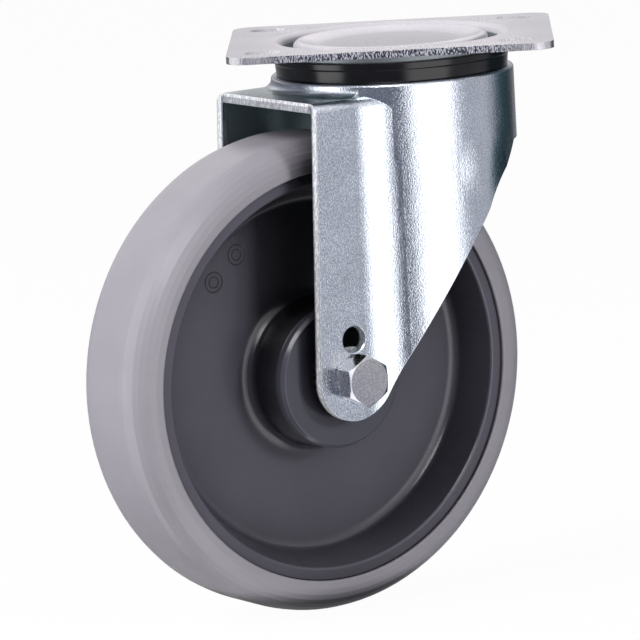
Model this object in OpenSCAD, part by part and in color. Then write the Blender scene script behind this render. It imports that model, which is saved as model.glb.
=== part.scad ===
// Swivel castor: a plate fitting, a pressed fork on a double ball race, and a
// plastic wheel with an elastic tyre on two ball bearings.
// Origin: the swivel axis at the plate's mounting face. +Z is up and the plate's
// long side lies along X. The fork, the wheel and what they carry are drawn with
// the trail along +X and the bolt head on +Y, then turned by swivel_rest.

/* [Overall] */
// Clearance between the king pin's lower head and the tyre
wheel_room = 7.3; // [5:0.1:12]
// Offset from the swivel axis to the axle
swivel_offset = 52.2; // [46:0.1:56]
// Direction of the trail at rest, from +X
swivel_rest = 216; // [0:1:359]

/* [Top plate] */
// Length of the plate, along X
plate_l = 135; // [130:1:150]
// Width of the plate, along Y
plate_w = 110; // [106:1:125]
// Thickness of the plate's sheet
plate_t = 3; // [2.5:0.1:4]
// Radius of the plate's corners
plate_corner_r = 9; // [4:0.5:12]
// Spacing of the slots along X
slot_dx = 105; // [100:1:112]
// Spacing of the slots along Y
slot_dy = 80; // [76:1:86]
// Width of a slot
slot_w = 11; // [9:0.5:12]
// End-to-end length of a slot, along X
slot_l = 15; // [12:0.5:18]
// Outer radius of the pressed channel, under the plate
channel_r = 48.5; // [46:0.25:50]
// Depth of the channel below the sheet's underside
channel_depth = 6; // [5:0.25:7]
// Radius of the crest between the dish and the channel, before its rounding
crest_r = 40.4; // [39.5:0.1:40.8]
// Radius of the crest's rounding
crest_bend = 2.5; // [1.5:0.1:2.8]
// Radius of the flat dish in the middle
dish_r = 30.5; // [28:0.5:32]
// Depth of the dish below the mounting face
dish_depth = 2.3; // [1.8:0.1:2.6]
// Radius of the bend between the dish and the slope up to the crest
dish_bend = 8; // [4:0.5:12]
// Radius of the soft edge where the plate turns down into the channel
channel_lead = 4; // [2:0.25:4.5]
// Inner bend radius of the plate's pressing
plate_bend = 1.5; // [1:0.1:2]

/* [Ball races of the swivel head] */
// Diameter of the balls in both rows
ball_d = 8; // [7.5:0.1:8.5]
// Clearance between a ball and its tracks
ball_gap = 0.05; // [0.03:0.01:0.08]
// Balls in the upper row
upper_count = 28; // [20:1:29]
// Balls in the lower row
lower_count = 18; // [12:1:19]
// Pitch radius of the lower row
lower_pitch_r = 27; // [26:0.25:28]
// Thickness of the lower race's sheet
race_t = 3; // [2.5:0.1:3.5]
// Width of the lower race outside the row's pitch radius
race_edge = 6; // [5.5:0.1:7]
// Radius of the king pin's shoulder
pin_shoulder_r = 11; // [10:0.5:13]
// Radius of the king pin's riveted ends
pin_end_r = 8; // [6:0.5:9]
// Widening of the king pin's upper end, which is riveted flush into the plate
pin_sink = 2.5; // [1:0.1:3]
// Radius of the king pin's lower head
pin_head_r = 13; // [12:0.5:15]
// Height of the king pin's lower head
pin_low_h = 3.5; // [2:0.5:5]
// Overhang of the dust seal beyond the channel
seal_lip = 1.1; // [0.8:0.1:1.5]
// Step between the dust seal's lip and its skirt
seal_step = 0.6; // [0.3:0.1:0.8]
// Height of the dust seal's lip
seal_lip_h = 2.6; // [2:0.1:3.5]
// Clearance of the dust seal round the channel
seal_gap = 0.3; // [0.2:0.05:0.4]

/* [Fork] */
// Thickness of the fork's sheet
fork_t = 4; // [3.5:0.1:4.2]
// Ledge of the drum outside the dust seal
drum_ledge = 1.4; // [1:0.1:2]
// Drop of the hood's top below the drum's seat
hood_drop = 5; // [4:0.25:6]
// Outer radius of the bend along the hood's edges
hood_bend = 5; // [4.6:0.1:6]
// Fillet where the drum rises out of the hood
step_fillet = 3.5; // [2:0.25:4.5]
// Radius of the waist between the drum and the legs
waist_r = 30; // [20:1:36]
// Depth of the rear wall's lower edge below the mounting face
skirt_depth = 45; // [42:0.5:48]
// Distance behind the swivel axis where the legs' rear edge starts
skirt_back = 33; // [28:0.5:36]
// Radius of the hollow rear edge of the legs
rear_edge_r = 470; // [400:5:600]
// Radius of the legs' lower ends
leg_end_r = 17.5; // [16:0.1:18.5]
// Backward lean of the legs' front edges, in degrees
leg_lean = 2.5; // [0:0.1:4]
// Radius of the spare hole above the axle
leg_hole_r = 5.4; // [4:0.1:5.4]
// Chamfer of that hole
leg_hole_chamfer = 0.5; // [0.2:0.1:0.8]
// Height of the spare hole above the axle
leg_hole_up = 16.6; // [16.5:0.1:20]
// Radius of the shallow dimple pressed in each rear flank
dimple_r = 80; // [60:1:100]
// Depth of the dimples
dimple_depth = 1.6; // [0.5:0.1:1.8]
// Direction of the dimples from the trail
dimple_angle = 107; // [104:1:112]
// Depth of the dimples' middle below the mounting face
dimple_drop = 56; // [52:1:60]
// Radius of the hole in the crown
crown_hole_r = 20; // [18:0.5:21]

/* [Wheel] */
// Diameter of the wheel
wheel_d = 200; // [192:1:204]
// Width of the tyre
tyre_w = 46; // [42:0.5:48]
// Thickness of the tyre outside the rim
tyre_t = 14; // [12:0.5:16]
// Step of the rim's edge inside the tyre's side
rim_inset = 1.6; // [1:0.1:2.5]
// Depth of the tyre's key in the rim
key_depth = 3.5; // [2.5:0.25:4]
// Width of the tyre's key at its root
key_w = 26; // [22:0.5:28]
// Slope of the key's flanks, along the axle
key_flank = 2; // [1:0.25:3]
// Rounding of the tyre's side where it meets the rim
side_edge_r = 0.8; // [0.4:0.1:1]
// Flat left on the tyre's side between its shoulder and that rounding
side_flat = 0.2; // [0.1:0.1:2]
// Width of the rim's lip
lip_w = 5; // [4:0.25:6]
// Thickness of the web
web_t = 8; // [6:0.5:10]
// Depth from the rim's outer edge to where its inner wall would meet the web
rim_depth = 12; // [11:0.5:14]
// Fillet between the web and the rim or the hub
web_fillet = 5; // [3:0.5:6]
// Radius of the hub
hub_r = 30; // [29:0.25:32]
// Length of the hub
hub_l = 44; // [42:0.5:46]
// Radius of the mould's plain round marks on the web
stamp_r = 4.5; // [3:0.25:6]
// Depth of the marks' grooves
stamp_depth = 0.4; // [0.2:0.05:0.6]
// Distance of the marks inside the rim's inner wall
stamp_in = 10.5; // [9:0.5:20]
// Angles of the two marks from the trail, towards the plate
stamp_angles = [43.4, 57.5];

/* [Axle and bearings] */
// Distance between the legs' inner faces
clamp_w = 65; // [60:0.5:66]
// Radius of the bearings' bore
bearing_bore_r = 10; // [9.5:0.1:10.5]
// Radius of the bearings' outside
bearing_r = 21; // [20.5:0.1:21.5]
// Width of a bearing
bearing_w = 12; // [11:0.25:13]
// Diameter of a bearing's balls
bearing_ball_d = 6.35; // [6:0.05:6.6]
// Balls in a bearing
bearing_balls = 9; // [7:1:10]
// Radial clearance of a bearing ball in its grooves
bearing_gap = 0.02; // [0.01:0.01:0.04]
// Height of the bearing rings' shoulders above the groove's bottom
ring_shoulder = 1.3; // [1:0.05:1.4]
// Slip fit between parts that slide over each other
slip = 0.02; // [0.01:0.01:0.05]
// Thickness of a bearing's shields
shield_t = 0.5; // [0.4:0.05:0.7]
// Wall of the spacers outside the bearing's bore
spacer_wall = 3.2; // [2.5:0.1:3.4]
// Radius of the hub cap's hole beyond the spacer
cap_gap = 0.8; // [0.5:0.1:1.2]
// Thickness of a hub cap outside the hub's end
cap_t = 4.2; // [3.5:0.1:5]
// Chamfer of a hub cap's edge
cap_chamfer = 1.4; // [0.8:0.1:1.8]

/* [Bolt and nut] */
// Radius of the bolt's shank
bolt_r = 6; // [5.5:0.1:6]
// Clearance round the shank, in the legs and the tube
bolt_gap = 0.3; // [0.1:0.05:0.5]
// Width across the flats of the bolt's head
head_af = 19; // [17:0.5:20]
// Height of the bolt's head
head_h = 8; // [7:0.25:9]
// Height of the round face under the bolt's head
head_face_h = 1.4; // [0.6:0.1:2]
// Width across the flats of the nut
nut_af = 19; // [17:0.5:20]
// Height of the nut's hexagon
nut_h = 9; // [8:0.5:10]
// Height of the nut's collar with its insert
collar_h = 3.4; // [2.8:0.1:4]
// Length of bolt beyond the nut
bolt_over = 2.5; // [1:0.5:5]

/* [Hidden] */
$fn = 96;
// A small overlap where two volumes of one piece are joined
weld = 0.5;
// How far round edges reach over the edges that they run into
ease = 0.05;

// Heights in the swivel head, from the mounting face downwards
ball_r = ball_d / 2;
plate_under = -plate_t;
channel_floor = plate_under - channel_depth;
dish_under = -dish_depth - plate_t;
// How deep a ball sits in the channel, the crown's top, the crown's underside and the lower race
channel_track = 0.6;
seat_track = 2.1;
crown_track = 2.7;
race_track = 2.4;
upper_z = channel_floor + channel_track - ball_r;
seat_z = upper_z - ball_r + seat_track;
crown_under = seat_z - fork_t;
lower_z = crown_under + crown_track - ball_r;
race_top = lower_z - ball_r + race_track;
race_under = race_top - race_t;
// Thickness of the sheet left round a pressed track
track_wall = 3;
// The channel's walls on the upper side, and the row of balls under the channel
channel_slope = 1;
groove_in_r = crest_r + channel_slope;
groove_out_r = channel_r - plate_t;
upper_pitch_r = groove_out_r - ball_r - 0.2;
// The crest's corner before its rounding. Its top comes out just below the mounting face
crest_z = 0.5;

// The fork's plan: a drum round the swivel axis and two flat legs, joined by a waist
seal_r = channel_r + seal_lip;
drum_r = seal_r + drum_ledge;
leg_y = clamp_w / 2 + fork_t;
hood_z = seat_z - hood_drop;
waist_y = leg_y + waist_r - ease;
waist_x = sqrt(pow(drum_r + waist_r - ease, 2) - pow(waist_y, 2));
// The wheel hangs below the king pin, so the total height follows the head and the wheel
pin_bottom = race_under - pin_low_h;
total_h = wheel_d + wheel_room - pin_bottom;
// A length that is longer than the castor, for cutting through
through = 2 * total_h;
// The legs' outline seen from the side
wheel_r = wheel_d / 2;
axle_z = wheel_r - total_h;
axle = [swivel_offset, axle_z];
leg_front = swivel_offset + leg_end_r;
// The front edge is a line that touches the leg's end and leans back
leg_front_low = axle + (leg_end_r - ease) * [cos(leg_lean), sin(leg_lean)];
leg_front_top = leg_front_low - leg_front_low[1] * [-tan(leg_lean), 1];
skirt_corner = [-skirt_back, -skirt_depth];
rear_edge_c = ring_meet(axle, rear_edge_r + leg_end_r - ease, skirt_corner, rear_edge_r);
leg_rear = axle + (rear_edge_c - axle) * (leg_end_r + weld) / norm(rear_edge_c - axle);
leg_hole_z = axle_z + leg_hole_up;

// Places along the axle, from the wheel's middle plane
tyre_side = tyre_w / 2;
rim_r = wheel_r - tyre_t;
shoulder_r = tyre_t - side_edge_r - side_flat;
web_edge_r = rim_r - rim_depth;
stamp_pitch_r = web_edge_r - stamp_in;
rim_side = tyre_side - rim_inset;
hub_side = hub_l / 2;
bearing_in = hub_side - bearing_w;
bearing_mid = hub_side - bearing_w / 2;
bearing_pitch_r = (bearing_bore_r + bearing_r) / 2;
bearing_ball_r = bearing_ball_d / 2;
spacer_r = bearing_bore_r + spacer_wall;
cap_hole_r = spacer_r + cap_gap;
cap_side = hub_side + cap_t;
tube_bore_r = bolt_r + bolt_gap;
nut_end = leg_y + nut_h + collar_h;
bolt_end = nut_end + bolt_over;

// Where two rings cross, taking the crossing on the right of the way from a to b
function ring_meet(a, ra, b, rb) =
    let (d = norm(b - a),
         along = (ra * ra - rb * rb + d * d) / (2 * d),
         off = sqrt(ra * ra - along * along),
         u = (b - a) / d)
    a + along * u + off * [-u[1], u[0]];

// The arc that rounds the corner at p between a and b
function corner(a, p, b, r, steps = 8) =
    r <= 0 ? [p] :
    let (u = (a - p) / norm(a - p),
         v = (b - p) / norm(b - p),
         half = acos(u * v) / 2,
         c = p + (u + v) / norm(u + v) * r / sin(half),
         s = p + u * r / tan(half) - c,
         e = p + v * r / tan(half) - c,
         turn = (s[0] * e[1] - s[1] * e[0] < 0 ? -1 : 1) * (180 - 2 * half))
    [for (i = [0:steps])
        let (t = turn * i / steps)
        c + [s[0] * cos(t) - s[1] * sin(t), s[0] * sin(t) + s[1] * cos(t)]];

// A closed outline of [x, y, radius] corners, each rounded by its radius
function rounded(pts) =
    let (n = len(pts))
    [for (i = [0:n - 1])
        let (a = pts[(i + n - 1) % n], p = pts[i], b = pts[(i + 1) % n])
        each corner([a[0], a[1]], [p[0], p[1]], [b[0], b[1]], p[2])];

module turned(pts) {
    rotate_extrude() polygon(rounded(pts));
}

module ring(r_out, r_in, z0, z1) {
    translate([0, 0, z0]) difference() {
        cylinder(r = r_out, h = z1 - z0);
        translate([0, 0, -weld]) cylinder(r = r_in, h = z1 - z0 + 2 * weld);
    }
}

// A ring of round section: a ball track, or the bulge behind one
module torus(pitch, z, r) {
    translate([0, 0, z]) rotate_extrude() translate([pitch, 0]) circle(r = r);
}

module ball_row(count, pitch, z, r) {
    for (i = [0:count - 1]) {
        rotate([0, 0, 360 * i / count]) translate([pitch, 0, z]) sphere(r = r);
    }
}

// The swivelled position of the fork and of what it carries
module swivelled() {
    rotate([0, 0, swivel_rest]) children();
}

// Turned about the axle: the child's Z runs along the axle towards the near leg
module on_axle() {
    swivelled() translate([swivel_offset, 0, axle_z]) rotate([-90, 0, 0]) children();
}

// The same, mirrored to the far side
module on_side(side) {
    on_axle() {
        if (side > 0) children();
        else mirror([0, 0, 1]) children();
    }
}

module hexagon(af, h) {
    // A corner points up, as the bolt head stands in the leg
    rotate([0, 0, 30]) cylinder(r = af / sqrt(3), h = h, $fn = 6);
}

// A hexagon with its outer corners turned off by a cone
module chamfered_hexagon(af, h) {
    corner_r = af / sqrt(3);
    intersection() {
        hexagon(af, h);
        turned([[0, 0, 0], [corner_r + 1, 0, 0], [corner_r + 1, h - (corner_r + 1 - af / 2) * tan(30), 0],
                [af / 2 - 0.3, h, 0], [0, h, 0]]);
    }
}

// The pressed middle of the plate: dish, crest, channel and the bend up to the flat
module plate_pressing() {
    flat_r = groove_out_r + channel_lead + plate_bend;
    top = [[pin_end_r + pin_sink, -dish_depth, 0], [dish_r, -dish_depth, dish_bend],
           [crest_r, crest_z, crest_bend], [groove_in_r, channel_floor + plate_t, plate_bend],
           [groove_out_r, channel_floor + plate_t, plate_bend],
           [groove_out_r, 0, channel_lead], [flat_r, 0, 0]];
    // The underside follows the upper side at the sheet's thickness
    under = [[flat_r, plate_under, 0], [channel_r, plate_under, plate_bend],
             [channel_r, channel_floor, plate_bend + plate_t * 0.9],
             [groove_in_r - plate_t * 0.87, channel_floor, plate_bend],
             [crest_r - plate_t * 0.82, crest_z - plate_t * 1.27, 0.6],
             [dish_r + plate_t * 0.13, dish_under, dish_bend + plate_t], [pin_end_r, dish_under, 0]];
    difference() {
        turned(concat(top, under));
        torus(upper_pitch_r, upper_z, ball_r + ball_gap);
    }
}

module top_plate() {
    color([0.78, 0.76, 0.77]) union() {
        difference() {
            translate([0, 0, plate_under]) linear_extrude(plate_t) difference() {
                rounded_rectangle(plate_l, plate_w, plate_corner_r);
                for (x = [-1, 1], y = [-1, 1]) {
                    translate([x * slot_dx / 2, y * slot_dy / 2]) slot(slot_l, slot_w);
                }
            }
            translate([0, 0, -through / 2]) {
                cylinder(r = groove_out_r + channel_lead + plate_bend - weld, h = through);
            }
        }
        plate_pressing();
    }
}

module rounded_rectangle(l, w, r) {
    polygon(rounded([[-l / 2, -w / 2, r], [l / 2, -w / 2, r], [l / 2, w / 2, r], [-l / 2, w / 2, r]]));
}

module slot(l, w) {
    square([l - w, w], center = true);
    for (s = [-1, 1]) translate([s * (l - w) / 2, 0]) circle(d = w);
}

module king_pin() {
    head_low = pin_bottom;
    color([0.66, 0.67, 0.7]) turned([
        [0, head_low, 0], [pin_head_r - 2, head_low, 1], [pin_head_r, head_low + 2, 1],
        [pin_head_r, race_under, 0], [pin_end_r, race_under, 0],
        [pin_end_r, race_top, 0], [pin_shoulder_r, race_top, 0], [pin_shoulder_r, dish_under, 0],
        [pin_end_r, dish_under, 0], [pin_end_r + pin_sink, -dish_depth, 0], [0, -dish_depth, 0]]);
}

module lower_race() {
    edge_r = lower_pitch_r + race_edge;
    color([0.62, 0.63, 0.66]) difference() {
        union() {
            turned([[pin_end_r, race_under, 0], [edge_r, race_under, 0.8],
                    [edge_r, race_top, 0.8], [pin_end_r, race_top, 0]]);
            intersection() {
                torus(lower_pitch_r, lower_z, ball_r + ball_gap + track_wall);
                ring(edge_r, pin_end_r, lower_z - 2 * ball_d, race_top);
            }
        }
        torus(lower_pitch_r, lower_z, ball_r + ball_gap);
    }
}

module upper_balls() {
    color([0.82, 0.83, 0.85]) swivelled() ball_row(upper_count, upper_pitch_r, upper_z, ball_r);
}

module lower_balls() {
    color([0.82, 0.83, 0.85]) swivelled() ball_row(lower_count, lower_pitch_r, lower_z, ball_r);
}

module dust_seal() {
    seal_top = channel_floor + plate_bend + plate_t / 2;
    inner_r = channel_r - plate_t;
    bend = plate_bend + plate_t * 0.9;
    color([0.06, 0.06, 0.07]) swivelled() rotate_extrude() difference() {
        polygon(rounded([
            [inner_r, seat_z, 0], [seal_r - seal_lip, seat_z, 0.5],
            [seal_r - seal_step, seal_top - seal_lip_h - seal_step, 0.4],
            [seal_r, seal_top - seal_lip_h, 0.4], [seal_r, seal_top, 0.5], [inner_r, seal_top, 0]]));
        // The channel's rounded edge, with its clearance
        translate([channel_r - bend, channel_floor + bend]) circle(r = bend + seal_gap);
        translate([0, channel_floor - seal_gap]) square([channel_r - bend, through]);
    }
}

// Radius that cuts a waist. Inside the sheet it stops short of the legs' inner faces
function waist_cut(grow) = waist_r - grow - (grow < 0 ? 2 * ease : 0);

// Plan of the drum and the legs. grow is how far the outline lies outside the outer face
module fork_plan(grow) {
    y = leg_y + grow;
    difference() {
        union() {
            circle(r = drum_r + grow);
            translate([0, -y]) square([leg_front + (grow < 0 ? fork_t : 0), 2 * y]);
            polygon([[0, 0], [waist_x, -waist_y], [waist_x, waist_y]]);
        }
        for (s = [-1, 1]) translate([waist_x, s * waist_y]) circle(r = waist_cut(grow));
    }
}

// The legs and hood up to a height, with the long edges of the hood rounded
module hood_block(grow, top, bend) {
    y = leg_y + grow;
    waist = waist_cut(grow);
    low = axle_z - 2 * leg_end_r;
    difference() {
        translate([0, 0, low]) linear_extrude(top - low) fork_plan(grow);
        // Rounding along the straight edges, in front of the waist
        for (s = [-1, 1]) {
            translate([waist_x, s * (y - bend), top - bend]) rotate([0, 90, 0]) difference() {
                translate([-bend - 1, s > 0 ? 0 : -bend - 1, 0]) cube([bend + 1, bend + 1, through]);
                translate([0, 0, -1]) cylinder(r = bend, h = through + 2);
            }
            // The same rounding round the waist
            translate([waist_x, s * waist_y, top - bend]) rotate_extrude() difference() {
                square([waist + bend, bend + 1]);
                translate([waist + bend, 0]) circle(r = bend);
            }
        }
    }
}

// The side view of the fork, from the drum's seat to the legs' lower ends
module fork_side() {
    difference() {
        union() {
            polygon([[-drum_r - 1, -skirt_depth], skirt_corner, leg_rear, axle,
                     leg_front_low, leg_front_top, [-drum_r - 1, 0]]);
            translate(axle) circle(r = leg_end_r);
        }
        // The hollow rear edge, below the rear wall only
        difference() {
            translate(rear_edge_c) circle(r = rear_edge_r, $fn = 360);
            translate([-through, -skirt_depth]) square([2 * through, through]);
        }
    }
}

module crown_profile() {
    polygon(rounded([[0, -skirt_depth - 1, 0], [drum_r, -skirt_depth - 1, 0], [drum_r, seat_z, 1.5],
                     [0, seat_z, 0]]));
}

module fork_outside() {
    rotate_extrude() crown_profile();
    hood_block(0, hood_z, hood_bend);
    // The fillet where the drum rises out of the hood
    intersection() {
        rotate_extrude() difference() {
            translate([drum_r - 1, hood_z - 1]) square([step_fillet + 1, step_fillet + 1]);
            translate([drum_r + step_fillet, hood_z + step_fillet]) circle(r = step_fillet);
        }
        translate([0, -leg_y + hood_bend, 0]) mirror([0, 0, 1]) {
            cube([leg_front - weld, 2 * (leg_y - hood_bend), through]);
        }
    }
}

// The balls that press the dimples: the punch itself, or the sheet behind it
module dimple_punch(r) {
    for (s = [-1, 1]) rotate([0, 0, s * dimple_angle]) {
        translate([drum_r + dimple_r - dimple_depth, 0, -dimple_drop]) sphere(r = r);
    }
}

module fork_inside() {
    inner_bend = max(hood_bend - fork_t, 0.5);
    translate([0, 0, crown_under - through]) cylinder(r = drum_r - fork_t, h = through);
    hood_block(-fork_t, hood_z - fork_t, inner_bend);
}

module fork() {
    color([0.62, 0.68, 0.71]) swivelled() difference() {
        union() {
            intersection() {
                difference() {
                    fork_outside();
                    difference() {
                        fork_inside();
                        dimple_punch(dimple_r + fork_t);
                    }
                    dimple_punch(dimple_r);
                }
                rotate([90, 0, 0]) translate([0, 0, -through / 2]) linear_extrude(through) fork_side();
            }
            // The sheet round the two ball tracks bulges on the other side
            intersection() {
                torus(upper_pitch_r, upper_z, ball_r + ball_gap + track_wall);
                ring(drum_r - fork_t, crown_hole_r, crown_under - 2 * ball_d, crown_under + weld);
            }
            intersection() {
                torus(lower_pitch_r, lower_z, ball_r + ball_gap + track_wall);
                ring(upper_pitch_r - ball_r - 0.5, crown_hole_r, seat_z - weld, seat_z + 2 * ball_d);
            }
        }
        torus(upper_pitch_r, upper_z, ball_r + ball_gap);
        torus(lower_pitch_r, lower_z, ball_r + ball_gap);
        translate([0, 0, crown_under - ball_d]) cylinder(r = crown_hole_r, h = 3 * ball_d);
        // The axle's holes and the spare holes above them, through both legs
        translate([swivel_offset, through / 2, axle_z]) rotate([90, 0, 0]) {
            cylinder(r = bolt_r + bolt_gap, h = through);
        }
        translate([swivel_offset, through / 2, leg_hole_z]) rotate([90, 0, 0]) {
            cylinder(r = leg_hole_r, h = through);
        }
        // The spare holes' chamfers, on the legs' outer faces
        for (s = [-1, 1]) translate([swivel_offset, s * leg_y, leg_hole_z]) rotate([s * 90, 0, 0]) {
            translate([0, 0, -weld]) {
                cylinder(r1 = leg_hole_r + leg_hole_chamfer + weld, r2 = leg_hole_r - weld,
                         h = leg_hole_chamfer + 2 * weld);
            }
        }
    }
}

module axle_bolt() {
    color([0.72, 0.7, 0.68]) on_axle() union() {
        translate([0, 0, leg_y + head_face_h]) chamfered_hexagon(head_af, head_h);
        translate([0, 0, leg_y]) cylinder(r = head_af / 2, h = head_face_h + weld);
        turned([[0, -bolt_end, 0], [bolt_r - 1, -bolt_end, 0], [bolt_r, -bolt_end + 1, 0],
                [bolt_r, leg_y + weld, 0], [0, leg_y + weld, 0]]);
    }
}

module lock_nut() {
    hex_end = leg_y + nut_h;
    collar_r = nut_af / 2 - 0.6;
    lip = 0.6;
    color([0.72, 0.72, 0.73]) on_side(-1) difference() {
        union() {
            translate([0, 0, leg_y]) chamfered_hexagon(nut_af, nut_h);
            turned([[0, hex_end - 1, 0], [collar_r, hex_end - 1, 0],
                    [collar_r, nut_end, 1.2], [0, nut_end, 0]]);
        }
        translate([0, 0, leg_y - weld]) cylinder(r = bolt_r + slip, h = through);
        // The seat of the insert
        translate([0, 0, nut_end - lip - insert_h()]) cylinder(r = insert_r(), h = insert_h());
    }
}

function insert_h() = collar_h - 1.2;
function insert_r() = bolt_r + 1.4;

module nut_insert() {
    color([0.2, 0.35, 0.65]) on_side(-1) {
        ring(insert_r() - slip, bolt_r + slip, nut_end - 0.6 - insert_h(), nut_end - 0.6);
    }
}

module axle_tube() {
    color([0.7, 0.7, 0.72]) on_axle() {
        ring(bearing_bore_r - slip, tube_bore_r, -clamp_w / 2, clamp_w / 2);
    }
}

module bearing_spacer() {
    color([0.66, 0.67, 0.7]) on_axle() ring(spacer_r, bearing_bore_r, -bearing_in, bearing_in);
}

module side_spacer(side) {
    color([0.66, 0.67, 0.7]) on_side(side) ring(spacer_r, bearing_bore_r, hub_side, clamp_w / 2);
}

// A bearing ring with its raceway groove and chamfered edges
module bearing_ring(r_out, r_in) {
    difference() {
        turned([[r_in, bearing_in, 0.6], [r_out, bearing_in, 0.6],
                [r_out, hub_side, 0.6], [r_in, hub_side, 0.6]]);
        torus(bearing_pitch_r, bearing_mid, bearing_ball_r + bearing_gap);
    }
}

module bearing_inner(side) {
    color([0.8, 0.8, 0.82]) on_side(side) {
        bearing_ring(bearing_pitch_r - bearing_ball_r + ring_shoulder, bearing_bore_r);
    }
}

module bearing_outer(side) {
    land_r = bearing_pitch_r + bearing_ball_r - ring_shoulder;
    color([0.8, 0.8, 0.82]) on_side(side) difference() {
        bearing_ring(bearing_r, land_r);
        // Steps that hold the shields
        for (z = [bearing_in - weld, hub_side - shield_t - 0.4]) {
            translate([0, 0, z]) cylinder(r = shield_r(), h = shield_t + 0.4 + weld);
        }
    }
}

function shield_r() = bearing_pitch_r + bearing_ball_r - ring_shoulder + 0.9;

module bearing_shields(side) {
    inner_land = bearing_pitch_r - bearing_ball_r + ring_shoulder;
    color([0.6, 0.61, 0.63]) on_side(side) {
        ring(shield_r() - slip, inner_land + 0.3, bearing_in + 0.4, bearing_in + 0.4 + shield_t);
        ring(shield_r() - slip, inner_land + 0.3, hub_side - 0.4 - shield_t, hub_side - 0.4);
    }
}

module bearing_ball_row(side) {
    color([0.85, 0.85, 0.87]) on_side(side) {
        ball_row(bearing_balls, bearing_pitch_r, bearing_mid, bearing_ball_r);
    }
}

// A ribbon cage with a pocket for each ball
module bearing_cage(side) {
    band = 0.6;
    reach = bearing_ball_r + 1;
    color([0.62, 0.55, 0.4]) on_side(side) difference() {
        ring(bearing_pitch_r + band, bearing_pitch_r - band, bearing_mid - reach, bearing_mid + reach);
        ball_row(bearing_balls, bearing_pitch_r, bearing_mid, bearing_ball_r + bearing_gap * 2);
    }
}

// A list of [x, y, radius] corners, then the same ones mirrored in the x axis
function both_sides(half) =
    concat(half, [for (i = [len(half) - 1:-1:0]) [half[i][0], -half[i][1], half[i][2]]]);

// The rim's section, from the hub's bore round the web to the tyre's seat
function rim_outline() =
    let (web = web_t / 2,
         seat_r = bearing_r + slip,
         bore_r = spacer_r + 2.5)
    both_sides([
        [bore_r, bearing_in, 0.5], [seat_r, bearing_in, 0], [seat_r, hub_side, 0.6],
        [hub_r, hub_side, 0.8], [hub_r + 1, web, web_fillet], [web_edge_r, web, web_fillet],
        [rim_r - lip_w, rim_side, 1.5], [rim_r, rim_side, 0.4], [rim_r, key_w / 2, 0],
        [rim_r - key_depth, key_w / 2 - key_flank, 0]]);

// The tyre's section: tread, shoulders, sides, and the key in the rim
function tyre_outline() =
    both_sides([
        [rim_r - key_depth, key_w / 2 - key_flank, 0], [rim_r, key_w / 2, 0],
        [rim_r, tyre_side, side_edge_r], [wheel_r, tyre_side, shoulder_r]]);

module rim() {
    groove_out = hub_r - 3;
    color([0.25, 0.26, 0.29]) on_axle() difference() {
        turned(rim_outline());
        for (s = [-1, 1]) scale_z(s) {
            ring(groove_out, groove_out - cap_wall(), hub_side - cap_key(), hub_side + weld);
        }
        // The marks lie on the near face of the web
        for (angle = stamp_angles) rotate([0, 0, -angle]) translate([stamp_pitch_r, 0, 0]) {
            ring(stamp_r, stamp_r - 0.6, web_t / 2 - stamp_depth, web_t / 2 + weld);
            ring(stamp_r - 2, stamp_r - 2.4, web_t / 2 - stamp_depth, web_t / 2 + weld);
        }
    }
}

function cap_wall() = 2;
function cap_key() = 4;

module scale_z(s) {
    if (s > 0) children();
    else mirror([0, 0, 1]) children();
}

module tyre() {
    color([0.66, 0.64, 0.67]) on_axle() turned(tyre_outline());
}

module hub_cap(side) {
    groove_out = hub_r - 3;
    color([0.23, 0.24, 0.27]) on_side(side) difference() {
        union() {
            turned([[cap_hole_r, hub_side, 0], [hub_r, hub_side, 0.3], [hub_r, cap_side - cap_chamfer, 0.5],
                    [hub_r - cap_chamfer, cap_side, 0.5], [cap_hole_r, cap_side, 0.4]]);
            ring(groove_out - slip, groove_out - cap_wall() + slip, hub_side - cap_key() + 0.2,
                 hub_side + weld);
        }
        translate([0, 0, hub_side - weld]) cylinder(r = bearing_r - 1.5, h = weld + 1.2);
    }
}

top_plate();
king_pin();
lower_race();
upper_balls();
lower_balls();
fork();
dust_seal();
axle_bolt();
lock_nut();
nut_insert();
axle_tube();
bearing_spacer();
side_spacer(1);  // near_spacer
side_spacer(-1);  // far_spacer
bearing_inner(1);  // near_bearing_inner
bearing_outer(1);  // near_bearing_outer
bearing_ball_row(1);  // near_bearing_balls
bearing_cage(1);  // near_bearing_cage
bearing_shields(1);  // near_bearing_shields
bearing_inner(-1);  // far_bearing_inner
bearing_outer(-1);  // far_bearing_outer
bearing_ball_row(-1);  // far_bearing_balls
bearing_cage(-1);  // far_bearing_cage
bearing_shields(-1);  // far_bearing_shields
rim();
tyre();
hub_cap(1);  // near_hub_cap
hub_cap(-1);  // far_hub_cap
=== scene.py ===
import math

import bpy
import numpy as np
from mathutils import Matrix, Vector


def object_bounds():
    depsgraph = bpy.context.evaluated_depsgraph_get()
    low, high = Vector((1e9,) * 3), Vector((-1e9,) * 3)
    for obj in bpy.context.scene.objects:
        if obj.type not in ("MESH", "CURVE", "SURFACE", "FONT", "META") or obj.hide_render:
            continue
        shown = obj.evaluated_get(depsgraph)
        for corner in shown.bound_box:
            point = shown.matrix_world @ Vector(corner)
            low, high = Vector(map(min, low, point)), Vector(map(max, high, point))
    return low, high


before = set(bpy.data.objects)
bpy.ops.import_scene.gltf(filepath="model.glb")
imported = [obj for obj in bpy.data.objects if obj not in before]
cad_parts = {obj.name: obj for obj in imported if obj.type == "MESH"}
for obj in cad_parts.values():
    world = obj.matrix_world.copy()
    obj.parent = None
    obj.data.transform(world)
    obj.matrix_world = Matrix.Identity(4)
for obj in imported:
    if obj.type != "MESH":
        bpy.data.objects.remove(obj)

# ---- Camera -------------------------------------------------------------------------
# A long lens from the front and a little above, as the photograph was taken. The numbers
# come from the plate's corners, the wheel's outline and the seal's edges in it.
cad_low, cad_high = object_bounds()
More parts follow.
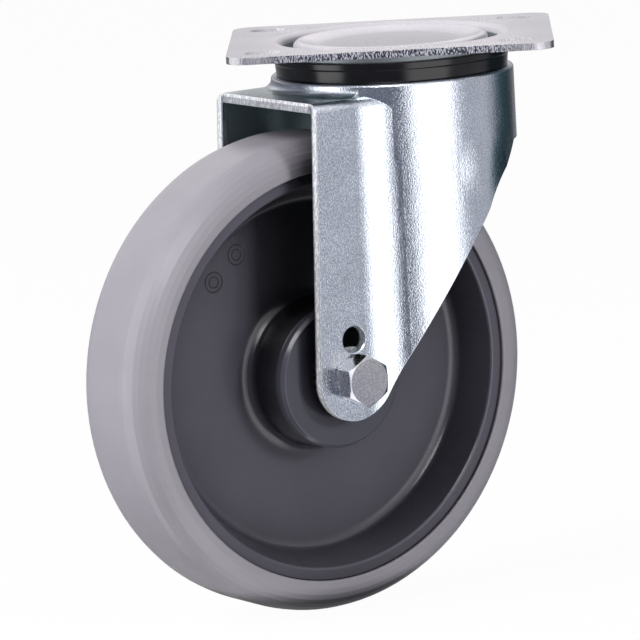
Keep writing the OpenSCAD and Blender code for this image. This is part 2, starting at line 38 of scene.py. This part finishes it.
view_azimuth, view_elevation, view_roll = np.radians([1.46, 9.56, -3.14])
lens_place = (0.023255, -2.321320, 0.271499)
picture_width = 640
focal_pixels = 5567.95
sensor_mm = 36.0
nearest_seen, farthest_seen = 0.05, 50

backwards = np.array([
    math.sin(view_azimuth) * math.cos(view_elevation),
    -math.cos(view_azimuth) * math.cos(view_elevation),
    math.sin(view_elevation),
])
level_right = np.cross(-backwards, [0, 0, 1])
level_right /= np.linalg.norm(level_right)
level_up = np.cross(level_right, -backwards)
right = math.cos(view_roll) * level_right + math.sin(view_roll) * level_up
up = math.cos(view_roll) * level_up - math.sin(view_roll) * level_right

camera = bpy.data.objects.new("camera", bpy.data.cameras.new("camera"))
camera.data.sensor_width = sensor_mm
camera.data.lens = sensor_mm * focal_pixels / picture_width
camera.data.clip_start = nearest_seen
camera.data.clip_end = farthest_seen
camera.matrix_world = Matrix([
    [right[0], up[0], backwards[0], lens_place[0]],
    [right[1], up[1], backwards[1], lens_place[1]],
    [right[2], up[2], backwards[2], lens_place[2]],
    [0, 0, 0, 1],
])
bpy.context.scene.collection.objects.link(camera)
bpy.context.scene.camera = camera
bpy.context.scene.view_settings.view_transform = "Standard"

# ---- Studio -------------------------------------------------------------------------
# A large soft lamp at the upper left and a small one at the right. The metal mirrors the
# room: tall white screens left and right of the camera, dark between them, a lamp over
# the camera, and pale walls overhead and behind.


def plug(tree, socket, value):
    """Puts a number, a colour or another node's result on a socket."""
    if isinstance(value, tuple):
        socket.default_value = (*value, 1)
    elif isinstance(value, (int, float)):
        socket.default_value = value
    else:
        tree.links.new(value, socket)


def work_out(tree, operation, first, second=0.0):
    """A sum of two values, each a socket or a number."""
    made = tree.nodes.new("ShaderNodeMath")
    made.operation = operation
    for socket, value in zip(made.inputs, (first, second)):
        plug(tree, socket, value)
    return made.outputs[0]


def along(tree, vector, direction):
    """How far a vector reaches along a direction: their dot product."""
    made = tree.nodes.new("ShaderNodeVectorMath")
    made.operation = "DOT_PRODUCT"
    made.inputs[1].default_value = direction
    tree.links.new(vector, made.inputs[0])
    return made.outputs["Value"]


def rise(tree, value, low, high, top=1.0, bottom=0.0, way="SMOOTHSTEP"):
    """The bottom up to low, the top from high on, and an even or smooth way between. It
    falls if high is below low."""
    made = tree.nodes.new("ShaderNodeMapRange")
    made.interpolation_type = way
    made.inputs["From Min"].default_value = low
    made.inputs["From Max"].default_value = high
    made.inputs["To Min"].default_value = bottom
    made.inputs["To Max"].default_value = top
    tree.links.new(value, made.inputs["Value"])
    return made.outputs["Result"]


def ramp(tree, value, *stops):
    """A colour or a level read off a value: stops are (position, colour or number)."""
    made = tree.nodes.new("ShaderNodeValToRGB")
    points = made.color_ramp.elements
    while len(points) < len(stops):
        points.new(0.5)
    for point, (position, colour) in zip(points, stops):
        point.position = position
        point.color = (*colour, 1) if isinstance(colour, tuple) else (colour, colour, colour, 1)
    tree.links.new(value, made.inputs["Fac"])
    return made.outputs["Color"]


def between(tree, share, first, second):
    """The first colour where share is 0 and the second where it is 1."""
    made = tree.nodes.new("ShaderNodeMix")
    made.data_type = "RGBA"
    for socket, value in (("Factor", share), ("A", first), ("B", second)):
        plug(tree, made.inputs[socket], value)
    return made.outputs["Result"]


def blend_light(tree, share, first, second):
    """The first light or shader where share is 0 and the second where it is 1."""
    made = tree.nodes.new("ShaderNodeMixShader")
    for socket, value in zip(made.inputs, (share, first, second)):
        plug(tree, socket, value)
    return made.outputs[0]


def backdrop(colour, strength=1.0):
    """The room's light, as one colour and strength or as they are worked out."""
    made = room.nodes.new("ShaderNodeBackground")
    plug(room, made.inputs["Color"], colour)
    plug(room, made.inputs["Strength"], strength)
    return made.outputs[0]


def from_castor(bearing_deg, height_deg):
    """The direction from the castor that a bearing right of the camera and a height give."""
    side, lift = math.radians(bearing_deg), math.radians(height_deg)
    return (math.sin(side) * math.cos(lift), -math.cos(side) * math.cos(lift), math.sin(lift))


world = bpy.data.worlds.new("studio")
bpy.context.scene.world = world
world.use_nodes = True
room = world.node_tree
room.nodes.clear()
outwards = room.nodes.new("ShaderNodeTexCoord").outputs["Generated"]
height = along(room, outwards, (0, 0, 1))
bearing = work_out(
    room, "ARCTAN2", along(room, outwards, (1, 0, 0)), along(room, outwards, (0, -1, 0)))
turn_share = work_out(room, "ADD", work_out(room, "DIVIDE", bearing, 2 * math.pi), 0.5)

# Degrees to the right of the camera, seen from the castor, and what stands there
left_screen, right_screen = (2.60, 2.60, 2.65), (2.1, 2.1, 2.12)
dark_gap, teal_gap, back_wall = (0.20, 0.205, 0.25), (0.06, 0.105, 0.12), (0.90, 0.88, 0.90)
walls = [
    (-180, back_wall), (-152, (0.70, 0.69, 0.72)), (-128, (0.26, 0.27, 0.30)),
    (-82, (0.18, 0.19, 0.22)), (-77, left_screen), (-54, left_screen),
    (-48, (0.24, 0.25, 0.29)), (-15, dark_gap), (11, dark_gap), (20, right_screen),
    (56, right_screen), (62, (0.50, 0.50, 0.55)), (78, (0.50, 0.51, 0.56)),
    (96, (0.58, 0.58, 0.62)), (106, (0.44, 0.46, 0.50)), (115, teal_gap), (146, teal_gap),
    (158, (0.50, 0.51, 0.53)), (168, (0.85, 0.83, 0.85)), (180, back_wall),
]
mirrored = ramp(
    room, turn_share, *[(degrees / 360 + 0.5, colour) for degrees, colour in walls])

ceiling_starts, ceiling_full = math.sin(math.radians(16)), math.sin(math.radians(42))
ceiling_white = (0.98, 0.97, 1.0)
mirrored = between(
    room, rise(room, height, ceiling_starts, ceiling_full), mirrored, ceiling_white)

# The lamp over the camera shows in round lips and fillets only
lamp_edge, lamp_heart = math.cos(math.radians(15)), math.cos(math.radians(9))
lamp_white = (8.0, 7.8, 7.8)
lamp_seen = rise(room, along(room, outwards, from_castor(-6, 42)), lamp_edge, lamp_heart)
mirrored = between(room, lamp_seen, mirrored, lamp_white)

# Behind the castor the room darkens towards the table, so that the plate's hollows show
behind = rise(room, along(room, outwards, (0, 1, 0)), 0.3, 0.8)
table_height, clear_height = math.sin(math.radians(2)), math.sin(math.radians(13))
table_level, clear_level = 0.42, 1.25
table_dims = rise(
    room, height, table_height, clear_height, clear_level, table_level, way="LINEAR")
mirror_level = work_out(
    room, "ADD", 1.0,
    work_out(room, "MULTIPLY", behind, work_out(room, "SUBTRACT", table_dims, 1.0)))

room_tint, room_strength = (0.97, 0.97, 1.0), 0.13
rays = room.nodes.new("ShaderNodeLightPath").outputs
in_room = blend_light(
    room, rays["Is Glossy Ray"], backdrop(room_tint, room_strength),
    backdrop(mirrored, mirror_level))
straight = work_out(room, "MAXIMUM", rays["Is Camera Ray"], rays["Is Transmission Ray"])
room.links.new(
    blend_light(room, straight, in_room, backdrop((1, 1, 1))),
    room.nodes.new("ShaderNodeOutputWorld").inputs["Surface"])

castor_middle, lamp_distance = (0, 0, -0.12), 2.0


def soft_box(name, bearing_deg, height_deg, width, watts):
    """A square lamp aimed at the castor from a bearing and a height. Metal does not mirror
    it, because the room has its own screens."""
    away = np.array(from_castor(bearing_deg, height_deg))
    across = np.cross([0, 0, 1], away)
    across /= np.linalg.norm(across)
    over = np.cross(away, across)
    middle = away * lamp_distance + castor_middle
    lamp = bpy.data.lights.new(name, "AREA")
    lamp.shape = "SQUARE"
    lamp.size = width
    lamp.energy = watts
    holder = bpy.data.objects.new(name, lamp)
    holder.matrix_world = Matrix(
        [[across[i], over[i], away[i], middle[i]] for i in range(3)] + [[0, 0, 0, 1]])
    holder.visible_glossy = False
    bpy.context.scene.collection.objects.link(holder)


soft_box("left_light", -62, 38, 1.1, 50)
soft_box("right_light", 54, 15, 0.34, 18)

# ---- Floor --------------------------------------------------------------------------
# White card under the castor, a hair below the tyre. The camera sees it almost white, a
# little darker in the shadow, and metal does not mirror it.
floor_reach, floor_gap = 4, 0.0004
card_colour, card_glow_share = (0.86, 0.86, 0.87), 0.97
floor_z = cad_low[2] - floor_gap
floor_mesh = bpy.data.meshes.new("floor")
floor_mesh.from_pydata(
    [(x * floor_reach, y * floor_reach, floor_z) for x, y in ((-1, -1), (1, -1), (1, 1), (-1, 1))],
    [], [(0, 1, 2, 3)])
floor = bpy.data.objects.new("floor", floor_mesh)
bpy.context.scene.collection.objects.link(floor)
floor.visible_glossy = False

card = bpy.data.materials.new("white_card")
card.use_nodes = True
card_tree = card.node_tree
card_tree.nodes.clear()
card_paint = card_tree.nodes.new("ShaderNodeBsdfDiffuse")
plug(card_tree, card_paint.inputs["Color"], card_colour)
card_glow = card_tree.nodes.new("ShaderNodeEmission")
plug(card_tree, card_glow.inputs["Color"], (1, 1, 1))
card_rays = card_tree.nodes.new("ShaderNodeLightPath").outputs
card_seen = work_out(card_tree, "MULTIPLY", card_rays["Is Camera Ray"], card_glow_share)
card_tree.links.new(
    blend_light(card_tree, card_seen, card_paint.outputs[0], card_glow.outputs[0]),
    card_tree.nodes.new("ShaderNodeOutputMaterial").inputs["Surface"])
floor.data.materials.append(card)

# ---- Top plate ----------------------------------------------------------------------
# A 3 mm steel pressing with four slots and a channel that carries the upper balls. It is
# blanked, pressed and bright zinc plated: the sheared edges keep fine ridges, and the
# drawn channel is satin.
plate_half_length, plate_half_width, plate_sheet, edge_band = 0.0675, 0.055, 0.003, 0.0015
channel_inner, channel_outer, slots_from = 0.04025, 0.04925, 0.052
ends_from, dish_reach = 0.051, 0.031
outer_hollow, outer_ridge = (0.060, 0.064, 0.095), (0.70, 0.70, 0.75)
slot_hollow, slot_ridge = (0.55, 0.54, 0.58), (0.95, 0.94, 0.96)
channel_hollow, channel_ridge, channel_satin = (0.62, 0.61, 0.64), (0.68, 0.67, 0.70), 0.75
# Painted light: colours for a dimmer reflection towards the plate's ends, and for painted shade in
# the dish and under the sheet
painted_dim_ends, painted_dish_shade, painted_under_shade = (0.55, 0.535, 0.57), (0.44, 0.43, 0.455), (0.26, 0.29, 0.31)


def finish(name, roughness, metallic=0.0):
    """A new material: itself, its tree, its object coordinates and its shader."""
    made = bpy.data.materials.new(name)
    made.use_nodes = True
    tree = made.node_tree
    shader = tree.nodes["Principled BSDF"]
    shader.inputs["Roughness"].default_value = roughness
    shader.inputs["Metallic"].default_value = metallic
    place = tree.nodes.new("ShaderNodeTexCoord").outputs["Object"]
    return made, tree, place, shader


def facing(tree):
    """Which way the surface faces, in the piece's own frame, so that it turns with it."""
    return tree.nodes.new("ShaderNodeTexCoord").outputs["Normal"]


def grain(tree, place, size, detail=2.0, stretch=(1, 1, 1)):
    """Noise whose lumps are about size metres across, drawn out by stretch on each axis."""
    spread = tree.nodes.new("ShaderNodeMapping")
    spread.inputs["Scale"].default_value = [1 / (size * s) for s in stretch]
    tree.links.new(place, spread.inputs["Vector"])
    noise = tree.nodes.new("ShaderNodeTexNoise")
    noise.inputs["Scale"].default_value = 1
    noise.inputs["Detail"].default_value = detail
    tree.links.new(spread.outputs[0], noise.inputs["Vector"])
    return noise.outputs["Fac"]


def relief(tree, height, depth, below):
    """A bump of that depth in metres, laid over the normal below."""
    made = tree.nodes.new("ShaderNodeBump")
    made.inputs["Strength"].default_value = 1
    made.inputs["Distance"].default_value = depth
    tree.links.new(height, made.inputs["Height"])
    tree.links.new(below, made.inputs["Normal"])
    return made.outputs["Normal"]


def worn_edge(tree, radius):
    """The normal of the surface with its edges rounded to that radius in metres."""
    made = tree.nodes.new("ShaderNodeBevel")
    made.samples = 6
    made.inputs["Radius"].default_value = radius
    return made.outputs["Normal"]


def either_side(tree, vector, direction):
    """How far a vector reaches along a direction or against it."""
    return work_out(tree, "ABSOLUTE", along(tree, vector, direction))


def from_swivel_axis(tree, place):
    """How far a point stands from the swivel axis, in metres: the length of (x, y)."""
    flat_place = tree.nodes.new("ShaderNodeVectorMath")
    flat_place.operation = "MULTIPLY"
    flat_place.inputs[1].default_value = (1, 1, 0)
    tree.links.new(place, flat_place.inputs[0])
    reach = tree.nodes.new("ShaderNodeVectorMath")
    reach.operation = "LENGTH"
    tree.links.new(flat_place.outputs[0], reach.inputs[0])
    return reach.outputs["Value"]


def beyond(tree, value, limit, blur):
    """1 where the value is over the limit and 0 under it, by a smooth way blur wide."""
    return rise(tree, value, limit - blur / 2, limit + blur / 2)


def within(tree, value, limit, blur):
    """1 where the value is under the limit and 0 over it, by a smooth way blur wide."""
    return rise(tree, value, limit + blur / 2, limit - blur / 2)


def all_of(tree, first, *others):
    """1 only where each share is 1: their product."""
    for other in others:
        first = work_out(tree, "MULTIPLY", first, other)
    return first


def any_of(tree, first, *others):
    """1 where some share is 1: the largest of them."""
    for other in others:
        first = work_out(tree, "MAXIMUM", first, other)
    return first


def zinc(name, dark, light, roughness, speckle_size, speckle_depth, speckle_tint=0.0,
         cut=None, tone=None, shape=None):
    """Bright zinc on steel: cloudy tint, matt grains, a slight orange peel and soft edges.

    speckle_tint is how much of the grains' hollows turns dark. cut(tree, place) gives where
    the metal is sheared or torn, its hollows' and ridges' colours, how much of the mirror it
    loses there and how far apart the ridges stand. tone(tree, place, colour) gives a changed
    colour, and shape(tree, place) the height and depth of a form in the sheet."""
    cloud_size, peel_size, peel_depth, edge_radius = 0.020, 0.006, 0.00003, 0.0003
    grain_shadow, torn_roughness, torn_depth = (0.20, 0.21, 0.26), (0.38, 0.38, 0.38), 0.00020
    made, tree, place, shader = finish(name, roughness, 1.0)
    speckle = grain(tree, place, speckle_size, 1.0)
    colour = ramp(tree, grain(tree, place, cloud_size, 3.0), (0.30, dark), (0.70, light))
    colour = between(tree, rise(tree, speckle, 0.62, 0.36, speckle_tint), colour, grain_shadow)
    rough = ramp(tree, speckle, (0.3, roughness * 0.8), (0.7, roughness * 1.3))
    normal = worn_edge(tree, edge_radius)
    if shape:
        height, depth = shape(tree, place)
        normal = relief(tree, height, depth, normal)
    normal = relief(tree, grain(tree, place, peel_size, 1.0), peel_depth, normal)
    normal = relief(tree, speckle, speckle_depth, normal)
    if cut:
        sheared, hollow, ridge, dull, torn_size = cut(tree, place)
        torn = grain(tree, place, torn_size, 1.0, (1, 1, 3))
        torn_colour = between(tree, rise(tree, torn, 0.44, 0.62), hollow, ridge)
        colour = between(tree, sheared, colour, torn_colour)
        rough = between(tree, sheared, rough, torn_roughness)
        normal = relief(tree, all_of(tree, torn, sheared), torn_depth, normal)
        plug(tree, shader.inputs["Metallic"],
             work_out(tree, "SUBTRACT", 1.0, all_of(tree, sheared, dull)))
    if tone:
        colour = tone(tree, place, colour)
    plug(tree, shader.inputs["Base Color"], colour)
    plug(tree, shader.inputs["Roughness"], rough)
    plug(tree, shader.inputs["Normal"], normal)
    return made


def dress(material, *names):
    """Puts a material on CAD nodes."""
    for name in names:
        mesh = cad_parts[name].data
        mesh.materials.clear()
        mesh.materials.append(material)


def plate_cut(tree, place):
    """The plate's outer edge, dark between bright ridges, the slots' pale walls and the
    satin channel."""
    reach = from_swivel_axis(tree, place)
    upright = within(tree, either_side(tree, facing(tree), (0, 0, 1)), 0.45, 0.3)
    edges = all_of(tree, upright, beyond(tree, reach, slots_from, 0.001))
    channel = all_of(
        tree, beyond(tree, reach, channel_inner, 0.0015), within(tree, reach, channel_outer, 0.0015))
    outer = any_of(
        tree,
        beyond(tree, either_side(tree, place, (1, 0, 0)), plate_half_length - edge_band, 0.001),
        beyond(tree, either_side(tree, place, (0, 1, 0)), plate_half_width - edge_band, 0.001))
    sheared = any_of(tree, edges, all_of(tree, channel, channel_satin))
    hollow = between(tree, outer, slot_hollow, outer_hollow)
    hollow = between(tree, channel, hollow, channel_hollow)
    ridge = between(tree, outer, slot_ridge, outer_ridge)
    ridge = between(tree, channel, ridge, channel_ridge)
    dull = rise(tree, outer, 1.0, 0.0, 0.75)
    return sheared, hollow, ridge, dull, 0.00045


def plate_painted_shade(tree, place, colour):
    """Painted light: the colour is painted a little darker towards the two ends as a dimmer
    reflection, darker in the dish as painted shade, and dark under the plate, by the seal, as
    painted shade.
    """
    ends = beyond(tree, either_side(tree, place, (1, 0, 0)), ends_from, 0.026)
    dish = within(tree, from_swivel_axis(tree, place), dish_reach, 0.010)
    under = within(tree, along(tree, place, (0, 0, 1)), -plate_sheet - 0.00005, 0.0003)
    colour = between(tree, ends, colour, painted_dim_ends)
    colour = between(tree, dish, colour, painted_dish_shade)
    return between(tree, under, colour, painted_under_shade)


def plate_warp(tree, place):
    """The sheet's slight waves after pressing."""
    return grain(tree, place, 0.034, 0.0), 0.0004


plate_zinc = zinc(
    "plate_zinc", (0.66, 0.64, 0.68), (0.76, 0.73, 0.755), 0.25, 0.0006, 0.00002, 0.16,
    cut=plate_cut, tone=plate_painted_shade, shape=plate_warp)
dress(plate_zinc, "top_plate")

# ---- Ball races of the swivel head --------------------------------------------------
# Two rows of hard balls, the pressed lower race, and the king pin that rivets the plate
# and the race together. Ground steel, hidden by the seal and the drum.
hard_steel = zinc("hard_steel", (0.50, 0.50, 0.51), (0.58, 0.58, 0.59), 0.20, 0.0012, 0.00001)
dress(hard_steel, "lower_race", "upper_balls", "lower_balls")
dress(plate_zinc, "king_pin")

# ---- Fork ---------------------------------------------------------------------------
# One deep-drawn 4 mm pressing: a round drum with the ball seat, a hood over the wheel and
# two flat legs. Blue-passivated zinc over the drawn sheet's matt grain; its sheared edge
# shows round the front and the legs.
swivel_rest = math.radians(216)
trail = (math.cos(swivel_rest), math.sin(swivel_rest), 0)
sideways = (-math.sin(swivel_rest), math.cos(swivel_rest), 0)
sheet, leg_outside, hood_top, hood_radius, hood_front = 0.004, 0.0365, -0.0168, 0.005, 0.064
drum_radius, flank_angle, flank_drop = 0.051, math.radians(106), 0.052
leg_inside, drum_inside = leg_outside - sheet, drum_radius - sheet
edge_dark_hollow, edge_dark_ridge = (0.10, 0.11, 0.14), (0.20, 0.24, 0.26)
edge_pale_hollow, edge_pale_ridge = (0.62, 0.62, 0.66), (0.97, 0.97, 1.0)
# Painted shade: the darker teal of the hood's top under the plate and the dark of the fork's unlit
# inside; inside_satin is how much of the inside is satin
painted_top_shade, painted_inside_shade, inside_satin = (0.46, 0.57, 0.57), (0.19, 0.25, 0.27), 0.7


def distance_to(tree, place, spot):
    """How far a point stands from a spot, in metres."""
    made = tree.nodes.new("ShaderNodeVectorMath")
    made.operation = "DISTANCE"
    made.inputs[1].default_value = spot
    tree.links.new(place, made.inputs[0])
    return made.outputs["Value"]


def sheet_depth(tree, place):
    """How deep a point lies in the sheet of the hood or a leg: 0 outside, 1 inside the fork.
    It is the distance from the outside, a rectangle with round corners."""
    beside = work_out(
        tree, "SUBTRACT", either_side(tree, place, sideways), leg_outside - hood_radius)
    above = work_out(
        tree, "SUBTRACT", along(tree, place, (0, 0, 1)), hood_top - hood_radius)
    squares = []
    for value in (beside, above):
        over = work_out(tree, "MAXIMUM", value, 0.0)
        squares.append(work_out(tree, "MULTIPLY", over, over))
    bend = work_out(tree, "SQRT", work_out(tree, "ADD", *squares))
    flat = work_out(tree, "MINIMUM", work_out(tree, "MAXIMUM", beside, above), 0.0)
    depth = work_out(tree, "SUBTRACT", hood_radius, work_out(tree, "ADD", bend, flat))
    return work_out(tree, "DIVIDE", depth, sheet)


def fork_inside(tree, place):
    """1 on the faces between the legs, under the hood, in the waist and in the drum."""
    aside, ahead = either_side(tree, place, sideways), along(tree, place, trail)
    height = along(tree, place, (0, 0, 1))
    in_legs = all_of(
        tree, within(tree, aside, leg_inside + 0.0005, 0.0004), beyond(tree, ahead, -0.0075, 0.005))
    in_drum = within(tree, from_swivel_axis(tree, place), drum_inside + 0.002, 0.0008)
    in_waist = all_of(
        tree, within(tree, aside, leg_outside - 0.0015, 0.0004), beyond(tree, ahead, 0.029, 0.002),
        beyond(tree, height, -0.0975, 0.005))
    under = within(tree, height, hood_top - sheet - 0.0003, 0.001)
    behind_front = within(tree, ahead, hood_front - 0.0004, 0.0008)
    return all_of(tree, any_of(tree, in_legs, in_drum, in_waist), under, behind_front)


def fork_cut(tree, place):
    """The sheet's edges at the hood's and legs' front and round the legs, bright in the
    middle of the sheet and dark beside it, and the satin inside."""
    aside = either_side(tree, place, sideways)
    front = all_of(
        tree, beyond(tree, along(tree, place, trail), 0.0595, 0.001),
        beyond(tree, along(tree, facing(tree), trail), 0.7, 0.2))
    round_legs = all_of(
        tree, beyond(tree, aside, leg_inside - 0.0005, 0.0004),
        within(tree, either_side(tree, facing(tree), sideways), 0.375, 0.15),
        within(tree, along(tree, place, (0, 0, 1)), -0.0325, 0.003))
    satin = all_of(tree, fork_inside(tree, place), inside_satin)
    across = sheet_depth(tree, place)
    on_leg = ramp(tree, across, (0.03, 0.45), (0.25, 1.0), (0.70, 1.0), (0.92, 0.10))
    on_hood = ramp(
        tree, across, (0.25, 0.16), (0.45, 0.55), (0.62, 1.0), (0.93, 1.0), (1.0, 0.40))
    bright = between(tree, within(tree, aside, 0.03075, 0.0035), on_leg, on_hood)
    hollow = between(tree, bright, edge_dark_hollow, edge_pale_hollow)
    ridge = between(tree, bright, edge_dark_ridge, edge_pale_ridge)
    return any_of(tree, front, round_legs, satin), hollow, ridge, 0.65, 0.0007


def fork_painted_shade(tree, place, colour):
    """Painted shade: the hood's top is painted a darker teal as the shade and reflection under the
    plate over it, and the faces inside the fork are painted dark as shade.
    """
    shaded_hood_top = all_of(
        tree, beyond(tree, along(tree, facing(tree), (0, 0, 1)), 0.86, 0.22),
        within(tree, along(tree, place, (0, 0, 1)), hood_top + 0.0003, 0.002))
    colour = between(tree, shaded_hood_top, colour, painted_top_shade)
    return between(tree, fork_inside(tree, place), colour, painted_inside_shade)


def flank_bulges(tree, place):
    """The height of a soft bulge in each rear flank. The solid has a shallow hollow there,
    which the height fills first: it is what the hollow lacks of the drum's radius."""
    hollow = work_out(
        tree, "MAXIMUM", work_out(tree, "SUBTRACT", drum_radius, from_swivel_axis(tree, place)), 0.0)
    apart = [
        distance_to(tree, place, (
            drum_radius * math.cos(swivel_rest + turn), drum_radius * math.sin(swivel_rest + turn),
            -flank_drop))
        for turn in (-flank_angle, flank_angle)
    ]
    nearest = work_out(tree, "MINIMUM", *apart)
    filled = all_of(tree, hollow, within(tree, nearest, 0.024, 0.004))
    return work_out(tree, "ADD", filled, rise(tree, nearest, 0.019, 0.001, 0.0014)), 1.0


fork_zinc = zinc(
    "fork_zinc", (0.66, 0.71, 0.77), (0.78, 0.83, 0.90), 0.16, 0.00055, 0.00009, 0.36,
    cut=fork_cut, tone=fork_painted_shade, shape=flank_bulges)
dress(fork_zinc, "fork")

# ---- Dust seal ----------------------------------------------------------------------
# A ring of black rubber, moulded with a polished skin, that turns with the fork and wipes
# the plate's channel.
seal_rubber, tree, place, shader = finish("seal_rubber", 0.16)
shader.inputs["Specular IOR Level"].default_value = 0.45
seal_black = ramp(
    tree, grain(tree, place, 0.010), (0.3, (0.003, 0.003, 0.004)), (0.7, (0.006, 0.005, 0.007)))
seal_skin = relief(tree, grain(tree, place, 0.004), 0.00001, worn_edge(tree, 0.0003))
plug(tree, shader.inputs["Base Color"], seal_black)
plug(tree, shader.inputs["Normal"], seal_skin)
dress(seal_rubber, "dust_seal")

# ---- Rim and hub caps ---------------------------------------------------------------
# One moulding of filled polyamide with lip, web and hub, and two push-in covers. Dark slate
# grey, with the mould's faint flow marks and fine skin, and the discs of its two inserts.
axle_out, axle_up, mark_reach, web_face = 0.0522, -0.135, 0.0635, 0.004
mark_radius, mark_share, mark_shade = 0.0047, 0.55, 0.6
# Painted shade: the share of the dark tone left where other pieces stand closest, and the occlusion
# levels between which it fades
painted_gap_shade, gap_shut, gap_open = 0.12, 0.35, 0.90


def moulded(name, dark, light, roughness, reach, marks=()):
    """Plastic or rubber from a mould: slow changes of tone, a fine skin and soft edges.

    Where other pieces stand over it, closer than reach, hardly any light gets to it, and its
    colour is painted darker there as shade, read from ambient occlusion. marks are the
    middles of the mould's round inserts, which leave a duller disc."""
    flow_size, skin_size, skin_depth, edge_radius = 0.030, 0.0007, 0.000004, 0.0004
    made, tree, place, shader = finish(name, roughness)
    colour = ramp(tree, grain(tree, place, flow_size, 3.0), (0.3, dark), (0.7, light))
    # Painted shade: where ambient occlusion finds other pieces close by, the colour is painted
    # darker, down to a small share of the dark tone
    open_air = tree.nodes.new("ShaderNodeAmbientOcclusion")
    open_air.samples = 12
    open_air.inputs["Distance"].default_value = reach
    colour = between(
        tree, rise(tree, open_air.outputs["AO"], gap_shut, gap_open),
        tuple(painted_gap_shade * c for c in dark), colour)
    for mark in marks:
        disc = rise(
            tree, distance_to(tree, place, mark), mark_radius + 0.0005, mark_radius - 0.0005,
            mark_share)
        colour = between(tree, disc, colour, tuple(mark_shade * c for c in dark))
    rough = ramp(
        tree, grain(tree, place, 0.008), (0.3, roughness * 0.92), (0.7, roughness * 1.08))
    skin = relief(
        tree, grain(tree, place, skin_size, 2.0), skin_depth, worn_edge(tree, edge_radius))
    plug(tree, shader.inputs["Base Color"], colour)
    plug(tree, shader.inputs["Roughness"], rough)
    plug(tree, shader.inputs["Normal"], skin)
    return made


mark_places = [
    (axle_out + mark_reach * math.cos(turn)) * np.array(trail) + web_face * np.array(sideways)
    + [0, 0, axle_up + mark_reach * math.sin(turn)]
    for turn in (math.radians(43.4), math.radians(57.5))
]
rim_plastic = moulded(
    "rim_plastic", (0.076, 0.072, 0.093), (0.086, 0.081, 0.105), 0.22, 0.070, mark_places)
cap_plastic = moulded("cap_plastic", (0.056, 0.056, 0.074), (0.066, 0.066, 0.086), 0.20, 0.040)
dress(rim_plastic, "rim")
dress(cap_plastic, "near_hub_cap", "far_hub_cap")

# ---- Tyre ---------------------------------------------------------------------------
# Light grey elastic rubber, moulded on the rim, with round shoulders. It is dull and
# slightly lilac; its colour is painted darker as shade only where the hood and the leg
# stand close over it.
tyre_rubber = moulded("tyre_rubber", (0.275, 0.260, 0.294), (0.300, 0.283, 0.318), 0.34, 0.018)
dress(tyre_rubber, "tyre")

# ---- Axle bolt, nut and what they clamp ---------------------------------------------
# An M12 hexagon bolt and lock nut in bright zinc, a steel tube that the legs clamp, and
# the spacers at both sides of the wheel. A blue nylon ring locks the nut.
bolt_zinc = zinc("bolt_zinc", (0.50, 0.51, 0.55), (0.62, 0.60, 0.60), 0.22, 0.0009, 0.00003, 0.15)
dress(
    bolt_zinc, "axle_bolt", "lock_nut", "axle_tube", "bearing_spacer", "near_spacer", "far_spacer")
nylon = moulded("nylon", (0.10, 0.20, 0.52), (0.14, 0.26, 0.60), 0.35, 0.010)
dress(nylon, "nut_insert")

# ---- Wheel bearings -----------------------------------------------------------------
# Two deep-groove ball bearings pressed in the hub: ground rings and balls, a brass-toned
# steel cage and thin pressed shields.
cage_steel = zinc("cage_steel", (0.52, 0.47, 0.38), (0.60, 0.55, 0.45), 0.30, 0.0015, 0.00001)
for side in ("near", "far"):
    dress(hard_steel, *[f"{side}_bearing_{part}" for part in ("inner", "outer", "balls", "shields")])
    dress(cage_steel, f"{side}_bearing_cage")
